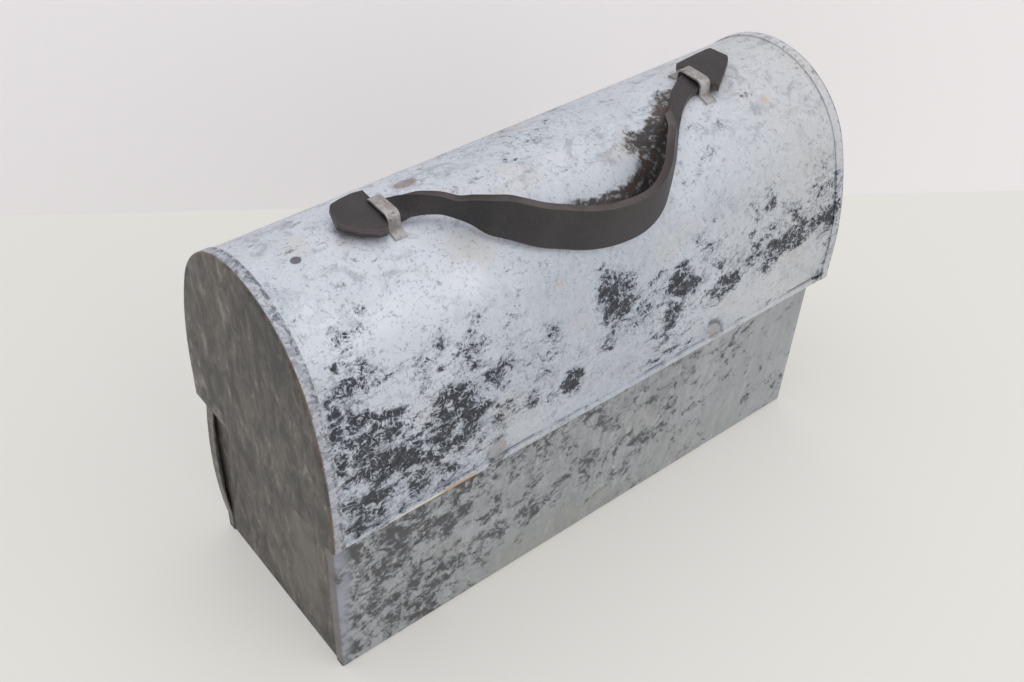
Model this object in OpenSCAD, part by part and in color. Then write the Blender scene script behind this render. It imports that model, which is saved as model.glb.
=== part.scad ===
// Dome-top lunch box in soldered sheet steel, with a leather strap handle.
// Millimetres. X runs along the box, -Y is the hinge side, +Y the latch side and +Z is up.
// The origin is the centre of the underside of the base.

/* [Body] */
// Length of the body over its lap seams
body_l = 254; // [220:1:300]
// Depth of the body from the hinge side to the latch side
body_d = 92; // [84:1:104]
// Height of the body's folded rim
body_h = 93; // [80:1:110]
// Thickness of the sheet steel
sheet = 0.6; // [0.5:0.05:0.7]
// Outer bend radius where the bottom turns up into the long walls
bend_r = 1.5; // [1.2:0.1:3]
// Outer radius of the upright corners
corner_r = 1.2; // [1:0.1:1.2]
// Depth of the rim that is folded to the inside
rim_fold = 5; // [3:0.5:8]
// Width of the lap that each long wall turns round the corner
lap_w = 5; // [4:0.5:8]
// How far the lap has sprung away at the rear left corner
sprung = 2.4; // [1:0.1:2.6]
// Height at which the sprung stretch of the lap starts
sprung_low = 9; // [6:1:14]

/* [Lid] */
// How far the lid reaches down over the body
lap_over = 11.4; // [10:0.2:12]
// Height of the lid's upright skirt below the arch
skirt_h = 15.8; // [14:0.2:20]
// How much larger the radius of the leaning sides is than the crown's
side_extra = 100; // [80:5:120]
// Gap between the body and the lid on the hinge side
hinge_gap = 5.2; // [5:0.1:6]
// Gap between the body and the lid on the latch side
latch_gap = 1; // [0.9:0.1:2]
// Gap between the body and the lid at each end
end_gap = 2.9; // [2.6:0.1:5]
// Width of the flange that each end panel turns over the dome
flange_w = 5; // [3:0.5:8]
// Outer bend radius of that flange
flange_r = 1.2; // [1.1:0.05:1.3]
// Height of the hem folded outwards along the lower edge of the lid
hem_h = 3; // [2:0.25:5]

/* [Lid hinges] */
// Distance of each hinge from the middle of the box
hinge_x = 57; // [40:1:90]
// Length of each hinge
hinge_w = 26; // [20:1:36]
// Diameter of the hinge wire
hinge_pin_d = 2; // [1.6:0.1:2.1]
// Height of the hinge wire above the lid's lower edge
hinge_rise = 1.3; // [1.1:0.1:1.5]
// Height of the leaf soldered to the body
body_leaf_h = 7; // [5:0.5:8]
// Height of the leaf soldered inside the lid
lid_leaf_h = 10; // [6:0.5:12]

/* [Keepers] */
// Distance of each handle keeper from the middle of the box
keeper_x = 74; // [60:1:90]
// Width of the keeper's strip
keeper_w = 5; // [4:0.5:8]
// Thickness of the keeper's strip
keeper_t = 0.8; // [0.6:0.1:1.2]
// Length of each foot of the keeper
keeper_foot = 5; // [3:0.5:8]

/* [Strap] */
// Thickness of the leather
strap_t = 3; // [2:0.25:4]
// Width of the necks that pass through the keepers
neck_w = 10; // [8:0.5:12]
// Width of the grip
grip_w = 19.5; // [15:0.5:24]
// Width of the heads outside the keepers
head_w = 22; // [18:0.5:26]
// Length of each head
head_l = 17; // [14:0.5:22]
// Width of the blunt tip of each head
tip_w = 11; // [6:0.5:16]
// Distance of the keepers' line from the crest, towards the hinge side
strap_off = 3; // [0:0.25:4]
// Height of the swing axis above the dome
strap_lift = 2.5; // [2.2:0.1:3]
// How far the bow lies out to the hinge side of the crest
bow_reach = 41.5; // [36:0.5:42]
// Distance of the lowest point of the bow to the right of the middle
bow_low_x = 11; // [0:1:20]
// Lean of the grip above the middle of the box, where 90 is upright
bow_lean = 98; // [88:1:100]

/* [Hasp] */
// Width of the hasp
hasp_w = 16; // [12:0.5:24]
// Length of the hasp from its wire to its round end
hasp_l = 33; // [31:0.5:36]
// Thickness of the hasp, its plate and its knuckles
hasp_t = 0.8; // [0.6:0.1:0.9]
// Diameter of the hasp's wire
hasp_pin_d = 2; // [1.6:0.1:2.4]
// Height of the hasp's wire above the lid's lower edge
hasp_rise = 15.4; // [14:0.2:18]
// Height of the plate that carries the hasp
hasp_plate_h = 9; // [8:0.5:14]
// Width of the slot in the hasp
slot_w = 5; // [4.6:0.1:6]
// Length of the slot in the hasp
slot_l = 14; // [13.5:0.25:15]
// Angle from over the staple to swung up against the lid
hasp_park = 183; // [178:0.5:183]
// Diameter of the staple's wire
staple_d = 2.4; // [2:0.1:2.8]
// Height of the staple's eye
staple_eye = 6; // [5:0.25:6.5]
// Reach of the staple from the body
staple_reach = 10; // [9:0.25:11]

/* [Bottle bail] */
// Diameter of the bail's wire
bail_d = 2.4; // [2:0.1:3]
// Half the width of the bail
bail_half = 50; // [40:1:70]
// Bend radius of the bail's corners, to the middle of the wire
bail_bend = 5; // [4:0.5:10]
// Height of the bail above the body's rim
bail_rise = 10; // [9:0.5:14]
// Width of each eye that holds the bail
bail_eye_w = 7; // [5:0.5:10]
// Width of the clip that holds the bail's cross-bar
bail_clip_w = 10; // [6:0.5:16]
// Height of the plates that carry the bail's eyes and its clip
bail_plate_h = 9; // [6:0.5:14]
// Distance of the cross-bar from the lid's wall
bail_stand_off = 10; // [9.5:0.25:12]

/* [Hidden] */

$fn = 48;
// Facets of the large arcs of the lid
arc_fn = 240;
// Play of a wire in its knuckles, on the radius
wire_play = 0.05;
// Gap between neighbouring knuckles
knuckle_gap = 0.25;
// Gap between pieces that move past each other or that only rest on each other
rest_gap = 0.3;
// Overshoot of a cutting shape
cut = 1;

end_x = body_l / 2;
wall_y = body_d / 2;

// Lid: heights, and the three-centred arch of its inside. The crown's centre, the centre of a leaning
// side and the point where their arcs meet lie on one line that rises 44 in 117
skirt_z = body_h - lap_over;
spring_z = skirt_z + skirt_h;
mid_y = (latch_gap - hinge_gap) / 2;
half_w = (body_d + latch_gap + hinge_gap) / 2;
turn_cos = 0.936;
turn_sin = 0.352;
crown_r = half_w - side_extra * (1 - turn_cos);
side_r = crown_r + side_extra;
crown_z = spring_z + side_extra * turn_sin;
top_z = crown_z + crown_r;
lid_half = end_x + end_gap + sheet;
crest_z = top_z + sheet;

// Strap axis, in the middle of the keepers
neck_r = strap_lift - 0.4;
strap_z = crest_z + strap_lift;
strap_y = mid_y - strap_off;
neck_end = keeper_x - keeper_w / 2 - rest_gap;
head_start = keeper_x + keeper_w / 2 + rest_gap;

// Lid hinges
hinge_y = -wall_y - hinge_gap / 2;
hinge_z = skirt_z + hinge_rise;
leaf_t = sheet;

// Hasp
hasp_hole_r = hasp_pin_d / 2 + wire_play;
hasp_knuckle_r = hasp_hole_r + hasp_t;
hasp_y = mid_y + half_w + sheet + hasp_knuckle_r + 0.1;
hasp_z = skirt_z + hasp_rise;
hasp_lean_y = mid_y + half_w + 2 * sheet + rest_gap + 0.3 + hasp_t / 2;
staple_z = hasp_z - 22;

// Bail
bail_r = bail_d / 2;
bail_hole_r = bail_r + wire_play;
bail_eye_t = 0.8;
bail_z = body_h + bail_rise;
bail_y = mid_y + wall_inside(bail_z) - bail_hole_r - bail_eye_t;
bail_bar_y = mid_y - wall_inside(bail_z) + bail_stand_off;

// Half the inside width of the lid at a height on its leaning sides
function wall_inside(z) = half_w - side_r + sqrt(side_r^2 - max(0, z - spring_z)^2);

// Height of a surface lying off outside the lid's inner face, at a distance from the lid's middle
function dome_height(dist, off) =
    let (join = (crown_r + off) * turn_cos)
    abs(dist) < join
        ? crown_z + sqrt((crown_r + off)^2 - dist^2)
        : spring_z + sqrt(max(0, (side_r + off)^2 - (abs(dist) + side_r - half_w)^2));

function smooth(a, b, t) = let (u = min(1, max(0, (t - a) / (b - a)))) u * u * (3 - 2 * u);
function unit(v) = v / norm(v);
function bezier(p, t) =
    (1 - t)^3 * p[0] + 3 * (1 - t)^2 * t * p[1] + 3 * (1 - t) * t^2 * p[2] + t^3 * p[3];

// ---- Shared shapes ----

// Extrudes a (Y, Z) drawing along X, centred on x
module along_x(length, x = 0) {
    translate([x, 0, 0]) rotate([90, 0, 90]) linear_extrude(length, center = true) children();
}

// Cylinder along X, centred on (x, y, z)
module rod_x(r, length, x, y, z) {
    translate([x, y, z]) rotate([0, 90, 0]) cylinder(r = r, h = length, center = true);
}

module box(low, high) {
    translate(low) cube(high - low);
}

module round_square(size, r) {
    translate([r, 0]) square([size.x - 2 * r, size.y]);
    translate([0, r]) square([size.x, size.y - 2 * r]);
    for (x = [r, size.x - r], y = [r, size.y - r]) translate([x, y]) circle(r);
}

// Outline of the lid's end, lying off outside the inner face, down to the height low
module arch(off, low = skirt_z) {
    join_z = spring_z + (side_r + off) * turn_sin;
    width = half_w + off;
    translate([mid_y, 0]) {
        translate([-width, low]) square([2 * width, spring_z - low]);
        intersection() {
            translate([half_w - side_r, spring_z]) circle(side_r + off, $fn = arc_fn);
            translate([side_r - half_w, spring_z]) circle(side_r + off, $fn = arc_fn);
            translate([-width, spring_z]) square([2 * width, join_z - spring_z]);
        }
        intersection() {
            translate([0, crown_z]) circle(crown_r + off, $fn = arc_fn);
            translate([-width, join_z - 0.5]) square([2 * width, crown_r + off]);
        }
    }
}

// Strip between two offsets of the arch, cut to the height from low to high on one side
module arch_strip(inner, outer, low, high, side) {
    intersection() {
        difference() {
            arch(outer, low);
            arch(inner, low - cut);
        }
        translate([mid_y + (side > 0 ? 0 : -2 * half_w), low]) square([2 * half_w, high - low]);
    }
}

// Sweeps an (offset, x) section round the arch, from one skirt's lower edge to the other's
module sweep_arch() {
    translate([0, mid_y, 0]) for (side = [0, 1]) mirror([0, side, 0]) {
        translate([0, half_w, skirt_z]) linear_extrude(skirt_h) rotate(90) mirror([0, 1]) children();
        translate([0, half_w - side_r, spring_z]) ring_sector([[0, 0], [234, 0], [234, 88]])
            translate([side_r, 0]) children();
    }
    translate([0, mid_y, crown_z]) ring_sector([[0, 0], [117, 44], [117, 117], [-117, 117], [-117, 44]])
        translate([crown_r, 0]) children();
}

// Ring about the X axis, of which only the (Y, Z) sector stays
module ring_sector(sector) {
    rotate([90, 0, 90]) intersection() {
        rotate_extrude($fn = arc_fn) children();
        linear_extrude(lid_half + cut) polygon(sector);
    }
}

// Cross-section of the body's trough, lying in by the offset from its outside
module trough(off, high) {
    r = bend_r - off;
    width = body_d - 2 * off;
    translate([-width / 2, off + r]) square([width, high - off - r]);
    translate([-width / 2 + r, off]) square([width - 2 * r, r + cut]);
    for (side = [-1, 1]) translate([side * (width / 2 - r), off + r]) circle(r);
}

// ---- Body ----

// Section of a wall's rim, folded to the inside; the wall's inner face is at 0
module rim_section() {
    translate([-sheet, body_h - rim_fold]) square([sheet, rim_fold - sheet]);
    translate([0, body_h - sheet]) circle(sheet);
}

// Arc along which the rear left lap has sprung, as an (x, z) disc lying in by the offset
module sprung_disc(off) {
    high = skirt_z - rest_gap;
    half = (high - sprung_low) / 2;
    r = (half^2 + sprung^2) / (2 * sprung);
    translate([-end_x - sprung + r, sprung_low + half]) circle(r - off, $fn = arc_fn);
}

// Extrudes an (X, Z) drawing along Y
module along_y(low, high) {
    translate([0, high, 0]) rotate([90, 0, 0]) linear_extrude(high - low) children();
}

module sprung_lap() {
    low = [-end_x - sprung - cut, sprung_low];
    size = [sprung + cut + corner_r, skirt_z - rest_gap - sprung_low];
    along_y(wall_y - lap_w, wall_y) intersection() {
        difference() {
            sprung_disc(0);
            sprung_disc(sheet);
        }
        translate(low) square(size);
    }
    along_y(wall_y - sheet, wall_y) intersection() {
        sprung_disc(0);
        translate(low) square(size);
    }
}

module plan(off) {
    translate([-end_x + off, -wall_y + off])
        round_square([body_l - 2 * off, body_d - 2 * off], corner_r - off);
}

module body_wrap() {
    color("slategray") {
        difference() {
            union() {
                // Walls with their laps turned round the corners
                translate([0, 0, bend_r]) linear_extrude(body_h - sheet - bend_r) difference() {
                    plan(0);
                    plan(sheet);
                    translate([-end_x - cut, -wall_y + lap_w]) square([body_l + 2 * cut, body_d - 2 * lap_w]);
                }
                // Bottom, bent up into the walls
                intersection() {
                    along_x(body_l) difference() {
                        trough(0, bend_r + 0.1);
                        trough(sheet, body_h);
                    }
                    linear_extrude(2 * bend_r) plan(0);
                }
            }
            // The laps stop short of the rim and of the bottom bend
            for (side = [-1, 1]) {
                x = side * (end_x - sheet / 2);
                translate([x, 0, 0]) cube([sheet, body_d - 2 * lap_w, 4 * sheet], center = true);
                translate([x, 0, body_h - sheet]) cube([sheet + 0.02, 2 * (wall_y - corner_r), 3 * sheet], center = true);
            }
            // Opening behind the sprung lap
            box([-end_x - cut, wall_y - lap_w - cut, sprung_low],
                [-end_x + corner_r, wall_y + cut, skirt_z - rest_gap]);
        }
        sprung_lap();
        // Rims folded to the inside
        for (side = [-1, 1]) mirror([0, side < 0 ? 1 : 0, 0])
            along_x(body_l - 4 * sheet - 2 * rest_gap) translate([wall_y - sheet, 0]) rim_section();
    }
}

module body_end(side) {
    inner = end_x - 2 * sheet;
    fold_w = body_d - 4 * sheet - 2 * rest_gap;
    color("dimgray") mirror([side < 0 ? 1 : 0, 0, 0]) {
        intersection() {
            along_x(sheet, inner + sheet / 2) trough(sheet, body_h - sheet);
            linear_extrude(body_h) plan(sheet);
        }
        // Rim folded to the inside
        along_y(-fold_w / 2, fold_w / 2) translate([inner, 0]) {
            translate([-sheet, body_h - rim_fold]) square([sheet, rim_fold - sheet]);
            translate([0, body_h - sheet]) intersection() {
                circle(sheet);
                translate([-sheet, 0]) square([2 * sheet, sheet]);
            }
        }
        // Foot turned in on the bottom
        box([inner - lap_w, -wall_y + bend_r + rest_gap, sheet],
            [inner, wall_y - bend_r - rest_gap, 2 * sheet]);
    }
}

// ---- Lid hinges ----

hinge_hole_r = hinge_pin_d / 2 + wire_play;
hinge_knuckle_r = hinge_hole_r + leaf_t;
mid_knuckle_w = hinge_w * 0.4;
end_knuckle_w = (hinge_w - mid_knuckle_w) / 2 - knuckle_gap;

// Knuckle and the web that carries it to a face at a distance from the wire
module hinge_knuckle(width, x, face) {
    along_x(width, x) translate([hinge_y, hinge_z]) {
        difference() {
            union() {
                circle(hinge_knuckle_r);
                translate([min(face, 0), hinge_hole_r]) square([abs(face), leaf_t]);
            }
            circle(hinge_hole_r);
        }
    }
}

module hinge_body_leaf(x) {
    low = hinge_z + hinge_hole_r;
    color("lightgray") {
        hinge_knuckle(mid_knuckle_w, x, hinge_gap / 2);
        box([x - hinge_w / 2, -wall_y - leaf_t, low], [x + hinge_w / 2, -wall_y, low + body_leaf_h]);
    }
}

module hinge_lid_leaf(x) {
    low = hinge_z + hinge_hole_r;
    inside = -wall_y - hinge_gap;
    color("lightgray") {
        for (side = [-1, 1])
            hinge_knuckle(end_knuckle_w, x + side * (hinge_w - end_knuckle_w) / 2, -hinge_gap / 2);
        box([x - hinge_w / 2, inside, low], [x + hinge_w / 2, inside + leaf_t, low + lid_leaf_h]);
    }
}

module hinge_pin(x) {
    color("gray") rod_x(hinge_pin_d / 2, hinge_w, x, hinge_y, hinge_z);
}

// ---- Lid ----

module lid_dome() {
    length = 2 * (lid_half - flange_r);
    hem_length = 2 * (lid_half - flange_w - rest_gap);
    fold_z = skirt_z + sheet;
    color("lightsteelblue") {
        along_x(length) difference() {
            arch(sheet, fold_z);
            arch(0, fold_z - cut);
        }
        // Hem folded outwards along both skirts
        for (side = [-1, 1]) along_x(hem_length) translate([mid_y + side * (half_w + sheet), 0]) {
            translate([side > 0 ? 0 : -sheet, fold_z]) square([sheet, hem_h - sheet]);
            translate([0, fold_z]) circle(sheet);
        }
    }
}

module lid_end(side) {
    turn_off = 2 * sheet - flange_r;
    color("dimgray") mirror([side < 0 ? 1 : 0, 0, 0]) {
        along_x(sheet, lid_half - sheet / 2) arch(turn_off);
        // Flange turned over the edge of the dome
        sweep_arch() {
            translate([sheet, lid_half - flange_w]) square([sheet, flange_w - flange_r]);
            translate([turn_off, lid_half - flange_r]) intersection() {
                difference() { circle(flange_r); circle(flange_r - sheet); }
                square(flange_r);
            }
        }
    }
}

// ---- Handle ----

keeper_in = neck_w / 2 + 1.2;
keeper_round = 2;

module keeper(x) {
    loop_h = strap_lift + neck_r + rest_gap;
    out_r = crown_r + sheet;
    color("gainsboro") along_x(keeper_w, x) translate([mid_y, crown_z]) difference() {
        union() {
            // Loop over the strap
            translate([-strap_off - keeper_in - keeper_t, 0])
                round_square([2 * (keeper_in + keeper_t), out_r + loop_h + keeper_t], keeper_round + keeper_t);
            // Feet soldered along the dome
            intersection() {
                circle(out_r + keeper_t, $fn = arc_fn);
                translate([-strap_off - keeper_in - keeper_foot, 0]) square([2 * (keeper_in + keeper_foot), out_r + keeper_t]);
            }
        }
        circle(out_r, $fn = arc_fn);
        translate([-strap_off - keeper_in, 0]) round_square([2 * keeper_in, out_r + loop_h], keeper_round);
    }
}

module strap_head(side) {
    low_r = crown_r + sheet + rest_gap;
    taper = head_l * 0.45;
    color("#4a4242") mirror([side < 0 ? 1 : 0, 0, 0]) intersection() {
        along_x(head_l, head_start + head_l / 2) translate([mid_y, crown_z]) difference() {
            circle(low_r + strap_t, $fn = arc_fn);
            circle(low_r, $fn = arc_fn);
            translate([-2 * head_w, -2 * crown_r]) square([4 * head_w, 2 * crown_r]);
        }
        translate([head_start, strap_y, crown_z]) linear_extrude(2 * crown_r)
            polygon([[0, -head_w / 2 + 1.5], [2, -head_w / 2], [taper, -head_w / 2], [head_l, -tip_w / 2],
                     [head_l, tip_w / 2], [taper, head_w / 2], [2, head_w / 2], [0, head_w / 2 - 1.5]]);
    }
}

// Plan of the bow's middle line, as (x, distance from the crest), from a keeper to its lowest point
left_plan = [[-neck_end, -strap_off], [-neck_end + 14, -strap_off - 4],
             [-neck_end + 22, -bow_reach], [bow_low_x, -bow_reach]];
right_plan = [[neck_end, -strap_off], [neck_end - 17, -strap_off - 7],
              [bow_low_x + 25, -bow_reach], [bow_low_x, -bow_reach]];
bow_steps = 18;

function bow_plan(i) = i <= bow_steps
    ? bezier(left_plan, i / bow_steps)
    : bezier(right_plan, (2 * bow_steps - i) / bow_steps);

// Corners of the strap's section at a step along the bow
function bow_section(i) =
    let (
        p = bow_plan(i),
        ahead = bow_plan(min(i + 1, 2 * bow_steps)),
        behind = bow_plan(max(i - 1, 0)),
        off = sheet + 2 * rest_gap,
        along = unit([ahead.x - behind.x, ahead.y - behind.y,
                      dome_height(ahead.y, off) - dome_height(behind.y, off)]),
        near = min(p.x + neck_end, neck_end - p.x),
        lean = (bow_lean - 0.15 * p.x - 14 * smooth(18, 38, p.x)) * smooth(4, 22, near),
        width = neck_w * smooth(-6, 12, near) + (grip_w - neck_w) * smooth(6, 24, near),
        up = unit([0, 0, 1] - along.z * along),
        across = cross(up, along),
        wide = cos(lean) * across + sin(lean) * up,
        thick = cross(along, wide),
        foot_y = p.y - wide.y * width / 2 - thick.y * strap_t / 2,
        seat = dome_height(foot_y, off) + wide.z * width / 2 + thick.z * strap_t / 2,
        z = seat + (strap_z - seat) * (1 - smooth(0, 14, near)),
        middle = [p.x, mid_y + p.y, z]
    )
    [for (c = [[-1, -1], [1, -1], [1, 1], [-1, 1]])
        middle + c[0] * wide * width / 2 + c[1] * thick * strap_t / 2];

module strap_grip() {
    rings = [for (i = [0 : 2 * bow_steps]) bow_section(i)];
    count = len(rings);
    last = 4 * (count - 1);
    neck_l = head_start - rest_gap - neck_end;
    color("#4a4242") {
        polyhedron(
            points = [for (r = rings) each r],
            faces = concat(
                [[0, 1, 2], [0, 2, 3], [last + 2, last + 1, last], [last + 3, last + 2, last]],
                [for (i = [0 : count - 2], k = [0 : 3]) [4 * i + k, 4 * (i + 1) + k, 4 * i + (k + 1) % 4]],
                [for (i = [0 : count - 2], k = [0 : 3])
                    [4 * i + (k + 1) % 4, 4 * (i + 1) + k, 4 * (i + 1) + (k + 1) % 4]]));
        // Necks in the keepers
        for (side = [-1, 1])
            rod_x(neck_r, neck_l, side * (neck_end + neck_l / 2), strap_y, strap_z);
    }
}

// ---- Hasp ----

hasp_knuckle_w = hasp_w / 2;

module hasp_ring(width, x) {
    along_x(width, x) translate([hasp_y, hasp_z]) difference() {
        circle(hasp_knuckle_r);
        circle(hasp_hole_r);
    }
}

module hasp_plate() {
    ear_w = (hasp_w - hasp_knuckle_w) / 2 - knuckle_gap;
    color("silver") {
        difference() {
            along_x(hasp_w) arch_strip(sheet, sheet + hasp_t, hasp_z, hasp_z + hasp_plate_h, 1);
            rod_x(hasp_knuckle_r + rest_gap, hasp_knuckle_w + 2 * knuckle_gap, 0, hasp_y, hasp_z);
        }
        for (side = [-1, 1]) hasp_ring(ear_w, side * (hasp_w - ear_w) / 2);
    }
}

module hasp_pin() {
    color("gray") rod_x(hasp_pin_d / 2, hasp_w, 0, hasp_y, hasp_z);
}

// Hasp as it hangs over the staple
module hanging_hasp() {
    neck = hasp_knuckle_r + 0.8;
    hasp_ring(hasp_knuckle_w, 0);
    translate([0, hasp_lean_y + hasp_t / 2, 0]) rotate([90, 0, 0]) linear_extrude(hasp_t) difference() {
        union() {
            translate([-hasp_knuckle_w / 2, hasp_z - neck]) square([hasp_knuckle_w, neck - hasp_hole_r - hasp_t / 2]);
            translate([-hasp_w / 2, hasp_z - hasp_l + hasp_w / 2]) square([hasp_w, hasp_l - hasp_w / 2 - neck]);
            translate([0, hasp_z - hasp_l + hasp_w / 2]) circle(hasp_w / 2);
        }
        translate([-slot_w / 2, staple_z - slot_l / 2]) round_square([slot_w, slot_l], slot_w / 2 - 0.1);
    }
}

module hasp() {
    color("silver") translate([0, hasp_y, hasp_z]) rotate([hasp_park, 0, 0]) translate([0, -hasp_y, -hasp_z])
        hanging_hasp();
}

module staple() {
    r = staple_d / 2;
    leg = staple_eye / 2 + r;
    bow = 2 * r;
    color("gray") translate([0, wall_y, staple_z]) {
        for (side = [-1, 1]) {
            translate([0, 0, side * leg]) rotate([-90, 0, 0]) cylinder(r = r, h = staple_reach - r - bow);
            translate([0, staple_reach - r - bow, side * (leg - bow)]) rotate([90, 0, 90])
                rotate([0, 0, side > 0 ? 0 : -90]) rotate_extrude(angle = 90) translate([bow, 0]) circle(r);
        }
        translate([0, staple_reach - r, 0]) cylinder(r = r, h = 2 * (leg - bow), center = true);
    }
}

// ---- Bottle bail ----

module bail_eyes() {
    color("silver") for (side = [-1, 1]) {
        x = side * (bail_half + bail_bend + bail_eye_w / 2);
        along_x(bail_eye_w, x) {
            difference() {
                union() {
                    translate([bail_y, bail_z]) circle(bail_hole_r + bail_eye_t);
                    arch_strip(-bail_eye_t, 0, bail_z, bail_z + bail_plate_h, 1);
                }
                translate([bail_y, bail_z]) circle(bail_hole_r);
            }
        }
    }
}

module bail_clip() {
    grip = bail_r + rest_gap;
    t = bail_eye_t;
    color("silver") along_x(bail_clip_w) {
        arch_strip(-t, 0, bail_z + grip, bail_z + grip + bail_plate_h, -1);
        // Shelf from the lid's wall, and the two prongs that hang from it
        intersection() {
            arch(0);
            translate([bail_bar_y - bail_stand_off - cut, bail_z + grip])
                square([bail_stand_off + cut + grip + t, t]);
        }
        for (side = [-1, 1])
            translate([bail_bar_y + side * (grip + t / 2) - t / 2, bail_z - bail_r]) square([t, bail_r + grip]);
    }
}

module bottle_bail() {
    arm = bail_y - bail_bar_y;
    color("gray") translate([0, bail_y, bail_z]) for (side = [0, 1]) mirror([side, 0, 0]) {
        // Pintle in the eye, first bend, arm, second bend and half the cross-bar
        translate([bail_half + bail_bend, 0, 0]) rotate([0, 90, 0])
            cylinder(r = bail_r, h = bail_eye_w + 1);
        translate([bail_half + bail_bend, -bail_bend, 0]) rotate([0, 0, 90])
            rotate_extrude(angle = 90) translate([bail_bend, 0]) circle(bail_r);
        translate([bail_half, -bail_bend, 0]) rotate([90, 0, 0])
            cylinder(r = bail_r, h = arm - 2 * bail_bend);
        translate([bail_half - bail_bend, -arm + bail_bend, 0]) rotate([0, 0, -90])
            rotate_extrude(angle = 90) translate([bail_bend, 0]) circle(bail_r);
        translate([0, -arm, 0]) rotate([0, 90, 0]) cylinder(r = bail_r, h = bail_half - bail_bend);
    }
}

body_wrap();
body_end(-1);  // body_end_left
body_end(1);  // body_end_right
hinge_body_leaf(-hinge_x);  // hinge_body_leaf_left
hinge_body_leaf(hinge_x);  // hinge_body_leaf_right
hinge_pin(-hinge_x);  // hinge_pin_left
hinge_pin(hinge_x);  // hinge_pin_right
hinge_lid_leaf(-hinge_x);  // hinge_lid_leaf_left
hinge_lid_leaf(hinge_x);  // hinge_lid_leaf_right
lid_dome();
lid_end(-1);  // lid_end_left
lid_end(1);  // lid_end_right
keeper(-keeper_x);  // keeper_left
keeper(keeper_x);  // keeper_right
strap_grip();
strap_head(-1);  // strap_head_left
strap_head(1);  // strap_head_right
hasp_plate();
hasp_pin();
hasp();
staple();
bail_eyes();
bail_clip();
bottle_bail();
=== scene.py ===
"""Dome-top lunch box of worn sheet metal with a leather strap handle."""

import math

import bmesh
import bpy
from mathutils import Matrix, Vector


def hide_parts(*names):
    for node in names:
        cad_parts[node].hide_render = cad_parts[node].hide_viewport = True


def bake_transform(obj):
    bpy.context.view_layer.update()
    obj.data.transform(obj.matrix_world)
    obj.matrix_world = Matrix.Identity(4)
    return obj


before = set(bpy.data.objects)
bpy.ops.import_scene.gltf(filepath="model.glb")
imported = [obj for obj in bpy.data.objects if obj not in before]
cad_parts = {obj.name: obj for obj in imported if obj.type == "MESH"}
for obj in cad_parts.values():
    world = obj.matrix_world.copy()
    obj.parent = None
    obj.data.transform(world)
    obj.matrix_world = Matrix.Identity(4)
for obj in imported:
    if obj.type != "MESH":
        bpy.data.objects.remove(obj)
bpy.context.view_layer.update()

MM = 0.001

# ---------------------------------------------------------------- camera

CAMERA_AT = Vector((-262.35, -296.78, 440.01)) * MM
# Angles in radians: down from the horizon, round from the x axis, and its own roll
CAMERA_DOWN, CAMERA_TURN, CAMERA_ROLL = 0.7469, 0.8636, 0.0533
# Focal length and sensor width in mm
CAMERA_LENS, CAMERA_SENSOR = 44.39, 36.0


def place_camera():
    """Stands the camera above the left end, looking down along the hinge side."""
    level = math.cos(CAMERA_DOWN)
    ahead = Vector((level * math.cos(CAMERA_TURN), level * math.sin(CAMERA_TURN), -math.sin(CAMERA_DOWN)))
    right = Vector((math.sin(CAMERA_TURN), -math.cos(CAMERA_TURN), 0.0))
    up = right.cross(ahead)
    c, s = math.cos(CAMERA_ROLL), math.sin(CAMERA_ROLL)
    rolled_right = c * right + s * up
    rolled_up = c * up - s * right
    turn = Matrix((rolled_right, rolled_up, -ahead)).transposed()
    data = bpy.data.cameras.new("camera")
    data.lens = CAMERA_LENS
    data.sensor_width = CAMERA_SENSOR
    camera = bpy.data.objects.new("camera", data)
    camera.matrix_world = Matrix.Translation(CAMERA_AT) @ turn.to_4x4()
    bpy.context.scene.collection.objects.link(camera)
    bpy.context.scene.camera = camera


# ---------------------------------------------------------------- shader language


class Sock:
    """A shader socket; arithmetic on it adds Math nodes."""

    def __init__(self, graph, socket):
        self.graph = graph
        self.socket = socket

    def _math(self, operation, a, b=0.0, clamp=False):
        return self.graph.node("ShaderNodeMath", {"operation": operation, "use_clamp": clamp}, {0: a, 1: b})

    def __add__(self, other):
        return self._math("ADD", self, other)

    __radd__ = __add__

    def __sub__(self, other):
        return self._math("SUBTRACT", self, other)

    def __rsub__(self, other):
        return self._math("SUBTRACT", other, self)

    def __mul__(self, other):
        return self._math("MULTIPLY", self, other)

    __rmul__ = __mul__

    def __truediv__(self, other):
        return self._math("DIVIDE", self, other)

    def __rtruediv__(self, other):
        return self._math("DIVIDE", other, self)

    def __pow__(self, other):
        return self._math("POWER", self, other)

    def __neg__(self):
        return self._math("MULTIPLY", self, -1.0)

    def __abs__(self):
        return self._math("ABSOLUTE", self)

    def low(self, other):
        """The lower of the two values."""
        return self._math("MINIMUM", self, other)

    def clip(self):
        """The value held between 0 and 1."""
        return self._math("ADD", self, 0.0, clamp=True)

    def step(self, start, end):
        """0 below start and 1 above end, eased between them."""
        return self.graph.node(
            "ShaderNodeMapRange",
            {"interpolation_type": "SMOOTHSTEP", "clamp": True},
            {"Value": self, "From Min": start, "From Max": end, "To Min": 0.0, "To Max": 1.0},
            out="Result",
        )


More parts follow.
